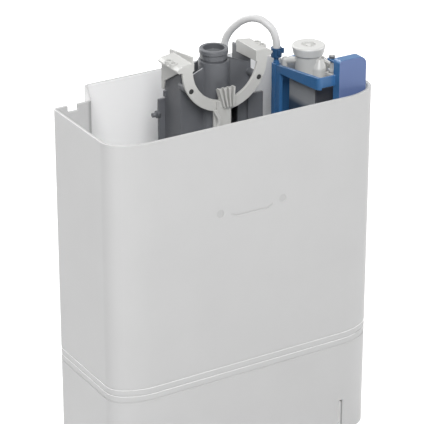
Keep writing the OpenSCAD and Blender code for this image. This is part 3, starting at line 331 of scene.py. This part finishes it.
def edge_widths(mesh, width, shortest, low):
    """Rounding width of each edge of a mesh, as a share of the wanted width.

    A sharp edge starts with the whole width, one below the low level with a small share of it, and one that
    is too short with none. Along each side of each face the rounding of that side and of the two beside it
    takes up (q + k cos a) / sin a at a corner of angle a, where k is the side's own width and q its
    neighbour's. Where both ends together take more room than the side has, the wider ones shrink.
    """
    first = read_field(mesh.polygons, "loop_start", kind=np.int32)
    last = first + read_field(mesh.polygons, "loop_total", kind=np.int32) - 1
    edge = read_field(mesh.loops, "edge_index", kind=np.int32)
    corner = read_field(mesh.vertices, "co", 3)[read_field(mesh.loops, "vertex_index", kind=np.int32)]
    normal = np.repeat(read_field(mesh.polygons, "normal", 3), last - first + 1, axis=0)
    side = np.arange(len(edge))
    before, after = side - 1, side + 1
    before[first] = last
    after[last] = first
    run = corner[after] - corner
    length = np.linalg.norm(run, axis=1)
    run /= length[:, None]
    turn = np.arctan2((np.cross(run[before], run) * normal).sum(1), (run[before] * run).sum(1))
    sine = np.where(np.abs(turn) > STRAIGHT_TURN, np.sin(turn), np.inf)
    cosine = -np.cos(turn)

    both_normals = np.zeros((len(mesh.edges), 3))
    np.add.at(both_normals, edge, normal)
    sharp = (both_normals**2).sum(1) < 4 * math.cos(SHARP_FOLD / 2) ** 2
    width_of = np.where(sharp, width, 0.0)
    width_of[edge[length < shortest]] = 0
    level = (corner[after, 2] + corner[:, 2]) / 2
    width_of[edge[level < low]] *= LOW_SHARE

    def taken(own, beside, at):
        """Length of each side that the rounding takes up at one of its ends."""
        return np.maximum(0, (beside + own * cosine[at]) / sine[at])

    for _ in range(PASSES):
        own, one_before, one_after = width_of[edge], width_of[edge[before]], width_of[edge[after]]
        used = taken(own, one_before, side) + taken(own, one_after, after)
        tight = used > ROOM * length
        if not tight.any():
            break
        share = np.maximum(LEAST_KEPT, ROOM_AIMED_AT * length / np.maximum(used, NEARLY_NOTHING))
        widest = np.maximum(np.maximum(own, one_before), one_after)
        shrink = np.ones(len(mesh.edges))
        for at, value in ((edge, own), (edge[before], one_before), (edge[after], one_after)):
            hit = tight & (value > WIDE_SHARE * widest)
            np.minimum.at(shrink, at[hit], share[hit])
        width_of *= shrink
    return width_of / width


def softened(node, width, shortest, low):
    """Copy of a CAD node with its flat triangles merged and its sharp edges rounded off to a width.

    Sides shorter than the shortest, such as those of a small hole, stay sharp, and edges below the low level
    are rounded much less. All three are in mm.
    """
    mesh = nodes[node].data.copy()
    mesh.name = node + "_soft"
    work = bmesh.new()
    work.from_mesh(mesh)
    bmesh.ops.remove_doubles(work, verts=work.verts, dist=MERGE_DISTANCE)
    bmesh.ops.dissolve_limit(work, angle_limit=FLAT_FOLD, verts=work.verts, edges=work.edges, delimit=set())
    work.to_mesh(mesh)
    work.free()
    obj = as_piece(node + "_soft", mesh, body_of_node[node])
    weights = mesh.attributes.new("bevel_weight_edge", "FLOAT", "EDGE")
    weights.data.foreach_set("value", edge_widths(mesh, width / 1000, shortest / 1000, low / 1000))
    rounding = obj.modifiers.new("edges", "BEVEL")
    rounding.width = width / 1000
    rounding.segments = ROUNDING_STEPS
    rounding.use_clamp_overlap = False
    rounding.limit_method = "WEIGHT"
    even = obj.modifiers.new("even_shading", "WEIGHTED_NORMAL")
    even.weight = EVEN_SHADING
    even.keep_sharp = True
    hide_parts(node)
    paint(obj, slot_of_node[node])
    return obj


# Rounding widths, shortest rounded sides and low levels, in mm
SOFT_EDGES = {
    "tank": 1.0, "bearing_block": 0.55, "tower_shell": 0.5, "tower_back_plate": 0.6, "tower_basket": 0.5,
    "fill_housing": 0.4, "fill_body": 0.35, "full_flush_rod": 0.5, "part_flush_rod": 0.6,
    "part_flush_float": 0.8, "fill_float": 1.5, "float_arm": 0.4, "outlet_nut": 0.4, "valve_base": 0.6,
    "hose_clip": 0.3, "hose_nut": 0.4, "stop_valve_body": 0.25, "stop_valve_knob": 0.4, "overflow_tube": 0.3,
    "overflow_collar": 0.4, "fill_cap": 0.6, "fill_body_nut": 0.3, "float_rod": 0.3, "float_rod_nut": 0.3,
    "hose_nipple": 0.3, "fill_spout": 0.4, "bearing_screws": 0.25, "stop_valve_screws": 0.3,
    "valve_disc": 0.5,
}
SHORTEST_SIDE = 0.75
SHORT_SIDES = {"tank": 0.2, "tower_shell": 0.45, "fill_housing": 0.45, "hose_clip": 0.45}
LOW_LEVELS = {"tank": 488}

soft = {
    node: softened(node, width, SHORT_SIDES.get(node, SHORTEST_SIDE), LOW_LEVELS.get(node, 0))
    for node, width in SOFT_EDGES.items()
}

# Painted light and shade, and finishes, of single faces

# Right half of the tank's plan from the front round to the back: x, y and radius of each corner in mm
PLAN_CORNERS = [(166, -107.5, 80), (200, -88, 28), (200, 55.5, 7), (147, 55.5, 7), (127, 107.5, 10)]
ARC_POINTS = 9
# A face's zone is looked up at a point a little in front of the face, in metres
PROBE = 0.003
# Inset of the plan, and foot and top heights, of the tank's inside, which is painted lighter as painted light
INSIDE_INSET = 0.0038
INSIDE_FOOT, INSIDE_TOP = 0.150, 0.499
STEP_SIDE, STEP_FRONT, STEP_FOOT = 0.1415, 0.040, 0.160
MARK_FRONT, MARK_REAR = -0.1074, -0.1050
MARK_NEAR, MARK_FAR = 0.040, 0.060
MARK_FOOT = 0.3
BLOCK_FRONT = -0.0905
VALVE_AXIS = np.array([0.0, -0.012])
BORE_FOOT, BORE_LEAST_RADIUS = 0.3, 0.002
# Share of a face's normal along -Y from which the face counts as looking to the front
TO_FRONT, STEP_TO_FRONT = 0.9, 0.95


def plan_outline(inset):
    """The tank's plan in metres, drawn in by a distance, with each corner replaced by points of its arc.

    A corner moves by inset * shift, where the shift is the sum of its two sides' inward normals over 1 +
    their dot product. Its arc turns from one normal to the other about the point radius * shift from there,
    on the hollow side of the corner.
    """
    corners = np.array(PLAN_CORNERS + [(-x, y, r) for x, y, r in PLAN_CORNERS[::-1]]) / 1000
    step = np.roll(corners[:, :2], -1, 0) - corners[:, :2]
    step /= np.linalg.norm(step, axis=1)[:, None]
    after = np.stack([-step[:, 1], step[:, 0]], 1)
    before = np.roll(after, 1, 0)
    dot = (before * after).sum(1)
    shift = (before + after) / (1 + dot)[:, None]
    turn = np.sign(before[:, 0] * after[:, 1] - before[:, 1] * after[:, 0])
    radius = corners[:, 2] - turn * inset
    middle = corners[:, :2] + (inset + turn * radius)[:, None] * shift
    start = np.arctan2(-turn * before[:, 1], -turn * before[:, 0])
    angle = start[:, None] + (turn * np.arccos(dot))[:, None] * np.linspace(0, 1, ARC_POINTS)
    arcs = middle[:, None] + radius[:, None, None] * np.stack([np.cos(angle), np.sin(angle)], -1)
    return arcs.reshape(-1, 2)


def inside(points, outline):
    """True for each point whose ray along +X crosses the outline an odd number of times."""
    x, y = points[:, None, 0], points[:, None, 1]
    ax, ay = outline[None, :, 0], outline[None, :, 1]
    bx, by = np.roll(ax, -1, 1), np.roll(ay, -1, 1)
    crossed = ((ay > y) != (by > y)) & (x < (bx - ax) * (y - ay) / (by - ay + NEARLY_NOTHING) + ax)
    return crossed.sum(1) % 2 == 1


def between(values, low, high):
    """True for each value between two limits."""
    return (values > low) & (values < high)


def looks_to_front(normal, least=TO_FRONT):
    """True for each face whose normal's share along -Y is over the least."""
    return normal[:, 1] < -least


def face_table(obj):
    """Middle points and normals of a piece's faces, one row each."""
    return read_field(obj.data.polygons, "center", 3), read_field(obj.data.polygons, "normal", 3)


def refinish(obj, name, chosen):
    """Gives the chosen faces of a piece a further material."""
    index = read_field(obj.data.polygons, "material_index", kind=np.int32)
    index[chosen] = len(obj.data.materials)
    obj.data.materials.append(MATERIALS[name])
    obj.data.polygons.foreach_set("material_index", index)


def paint_tank_light_shade_and_marks(obj):
    """Paints light into the tank's inside as a lighter colour, leaves the faces over its rear steps duller as
    painted shade, and gives the round marks on its front their own finish.
    """
    centre, normal = face_table(obj)
    x, y, z = (centre + PROBE * normal).T
    hollow = inside(np.stack([x, y], 1), plan_outline(INSIDE_INSET)) & between(z, INSIDE_FOOT, INSIDE_TOP)
    over_step = (np.abs(x) >= STEP_SIDE) & (y >= STEP_FRONT) & (z >= STEP_FOOT)
    # Painted light: the inside faces are painted lighter
    refinish(obj, "tank_inside_painted_light", hollow & ~over_step)
    # Painted shade: the step faces that look to the front get a duller tone than the rest of the inside
    refinish(obj, "tank_step_painted_shade", hollow & over_step & looks_to_front(normal, STEP_TO_FRONT))
    x, y, z = centre.T
    marked = between(y, MARK_FRONT, MARK_REAR) & between(np.abs(x), MARK_NEAR, MARK_FAR) & (z > MARK_FOOT)
    refinish(obj, "tank_mark", marked & looks_to_front(normal))


def paint_block_front_sheen(obj):
    """Gives the front of the fill housing's block a rougher finish and a paler colour, the paleness being a
    painted sheen.
    """
    centre, normal = face_table(obj)
    refinish(obj, "blue_front_painted_sheen", looks_to_front(normal) & (centre[:, 1] < BLOCK_FRONT))


def paint_bore_reflection(obj):
    """Gives the inside of the overflow tube, where faces look to its axis, a smoother finish and a lighter
    colour that is a painted reflection.
    """
    centre, normal = face_table(obj)
    outward = ((centre[:, :2] - VALVE_AXIS) * normal[:, :2]).sum(1)
    refinish(obj, "bore_painted_reflection", (outward < -BORE_LEAST_RADIUS) & (centre[:, 2] > BORE_FOOT))


def paint_float_front_shade(obj):
    """Gives the front of the fill float a dark colour as painted shade."""
    refinish(obj, "float_front_painted_shade", looks_to_front(face_table(obj)[1]))


paint_tank_light_shade_and_marks(soft["tank"])
paint_block_front_sheen(soft["fill_housing"])
paint_bore_reflection(soft["overflow_tube"])
paint_float_front_shade(soft["fill_float"])

# Finishes of whole pieces that differ from their slot's, with painted shade on the flush rods and painted
# light on the fill cap, and of the plain CAD pieces

FINISHES = {
    # The flush rods get painted shade and the fill cap gets painted light
    "full_flush_rod": "rod_plastic_painted_shade", "part_flush_rod": "rod_plastic_painted_shade", "fill_cap": "cap_plastic_painted_light",
    "bearing_screws": "screw_dark", "hose_clip": "clip_plastic",
}
for node, finish in FINISHES.items():
    finish_all(soft[node], finish)
for node, obj in nodes.items():
    if node not in SOFT_EDGES and node != "supply_hose":
        finish_all(obj, slot_of_node[node])

# Floor and light

WHITE = (1, 1, 1, 1)
PAPER = (0.80, 0.80, 0.80, 1)
PAPER_ROUGHNESS, PAPER_SPECULAR = 0.9, 0.1
FLOOR_RINGS = np.array([0.01, 0.4, 1.0, 3.0, 9.0])
FLOOR_SIDES = 64
FLOOR_LEVEL = -0.0005
# The glow grows from near to far between two distances from the middle
GLOW_FROM, GLOW_TO = 0.6, 2.6
GLOW_NEAR, GLOW_FAR = 0.55, 1.0
SKY_LIGHT, SKY_SEEN = 0.14, 1.0
# Place, target, side of the square in metres, and power in watts
LAMPS = {
    "key": ((-1.3, -2.2, 2.7), (0, 0, 0.35), 1.6, 114),
    "right": ((2.8, -0.7, 1.5), (0, 0, 0.35), 1.6, 30),
    "rear": ((-0.2, 2.2, 2.7), (0, 0, 0.45), 1.4, 46),
    "back": ((-0.8, 2.9, 1.5), (0, 0, 0.30), 1.4, 34),
}


def seen_rays(tree):
    """1 on rays from the camera, off glossy surfaces and through glass, otherwise 0: the largest of three."""
    path = tree.nodes.new("ShaderNodeLightPath")
    value = path.outputs["Is Camera Ray"]
    for kind in ("Is Glossy Ray", "Is Transmission Ray"):
        larger = shader_node(tree, "Math", {0: value, 1: path.outputs[kind]})
        larger.operation = "MAXIMUM"
        value = larger.outputs["Value"]
    return value


def stage_paper():
    """Matt paper that keeps the shadow, with a glow on seen rays that grows away from the middle."""
    mat, tree, shader = new_material("stage_paper")
    connect(tree, shader, {
        "Base Color": PAPER, "Roughness": PAPER_ROUGHNESS, "Specular IOR Level": PAPER_SPECULAR,
    })
    distance = shader_node(tree, "VectorMath", {0: piece_point(tree)})
    distance.operation = "LENGTH"
    rise = shader_node(tree, "MapRange", {
        "Value": distance.outputs["Value"], "From Min": GLOW_FROM, "From Max": GLOW_TO,
        "To Min": GLOW_NEAR, "To Max": GLOW_FAR,
    })
    glow = shader_node(tree, "Emission", {"Color": WHITE, "Strength": rise.outputs["Result"]})
    lit = shader_node(tree, "AddShader", {0: shader.outputs["BSDF"], 1: glow.outputs["Emission"]})
    pick = shader_node(tree, "MixShader", {
        "Fac": seen_rays(tree), 1: shader.outputs["BSDF"], 2: lit.outputs["Shader"],
    })
    connect(tree, tree.nodes["Material Output"], {"Surface": pick.outputs["Shader"]})
    return mat


def stage_floor():
    """A wide round sheet under the object: rings of points, with one face across the first ring."""
    a = np.linspace(0, 2 * np.pi, FLOOR_SIDES, endpoint=False)
    radius, level = FLOOR_RINGS[:, None], np.full((len(FLOOR_RINGS), FLOOR_SIDES), FLOOR_LEVEL)
    points = np.stack([radius * np.cos(a), radius * np.sin(a), level], -1)
    mesh = mesh_of("floor", points, [*ring_faces(len(FLOOR_RINGS), FLOOR_SIDES), range(FLOOR_SIDES)])
    mesh.materials.append(stage_paper())
    obj = bpy.data.objects.new("floor", mesh)
    scene.collection.objects.link(obj)


def area_light(name, place, target, size, power):
    """A square soft light at a place, turned towards a target."""
    data = bpy.data.lights.new(name, "AREA")
    data.size = size
    data.energy = power
    obj = bpy.data.objects.new(name, data)
    scene.collection.objects.link(obj)
    obj.location = place
    obj.rotation_euler = (Vector(target) - Vector(place)).to_track_quat("-Z", "Y").to_euler()


def white_world():
    """A white sky that gives a little light, and is seen as full white."""
    world = bpy.data.worlds.new("studio")
    scene.world = world
    world.use_nodes = True
    tree = world.node_tree
    level = shader_node(tree, "MapRange", {
        "Value": seen_rays(tree), "To Min": SKY_LIGHT, "To Max": SKY_SEEN,
    })
    connect(tree, tree.nodes["Background"], {"Color": WHITE, "Strength": level.outputs["Result"]})


stage_floor()
for name, lamp in LAMPS.items():
    area_light(name, *lamp)
white_world()
scene.view_settings.view_transform = "Standard"
